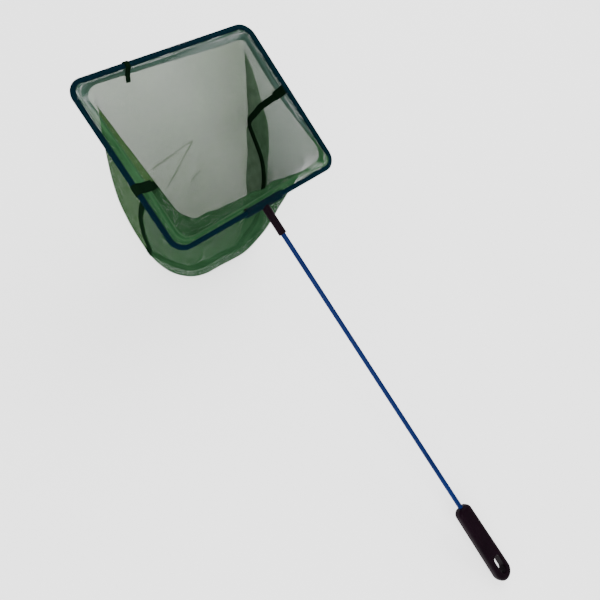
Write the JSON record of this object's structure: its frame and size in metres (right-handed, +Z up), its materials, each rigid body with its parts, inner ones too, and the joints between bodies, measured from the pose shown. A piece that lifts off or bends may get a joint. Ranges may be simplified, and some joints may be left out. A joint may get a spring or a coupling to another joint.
{
  "type": "aquarium fish net",
  "caption": "Hand net for an aquarium: a soft green mesh bag on a coated rectangular wire hoop, with a thin coated rod and a dark moulded grip with a hanging slot.",
  "frame": {"origin": "middle of the net's outline on the floor that it rests on", "axes": "+Y along the floor from the grip to the hoop, +Z up, +X to the right seen from the grip"},
  "size_m": [0.2058, 0.5786, 0.2144],
  "materials": {
    "steel": "bare drawn wire",
    "blue_coating": "smooth plastic coating",
    "dark_plastic": "satin moulded",
    "green_mesh": "fine see-through knitted mesh",
    "binding_tape": "narrow woven tape",
    "thread": "sewing thread"
  },
  "bodies": {
    "net_frame": {"hoop_wire": "steel", "handle_rod": "steel", "hoop_coating": "blue_coating", "handle_coating": "blue_coating", "joiner": "dark_plastic", "grip": "dark_plastic", "hem_far": "green_mesh", "hem_near_left": "green_mesh", "hem_near_right": "green_mesh", "back_panel": "green_mesh", "front_panel": "green_mesh", "hem_tab": "binding_tape", "left_tape": "binding_tape", "right_tape": "binding_tape", "left_tape_end": "binding_tape", "right_tape_end": "binding_tape", "hem_stitching": "thread"},
    "bag_pouch": {"back_pouch": "green_mesh", "front_pouch": "green_mesh", "toe_tape": "binding_tape"}
  },
  "joints": [
    {"name": "bag_collapse", "type": "slide", "parent": "net_frame", "child": "bag_pouch", "axis": [0, 0.1939, 0.981], "range_m": [0, 0.07]}
  ]
}
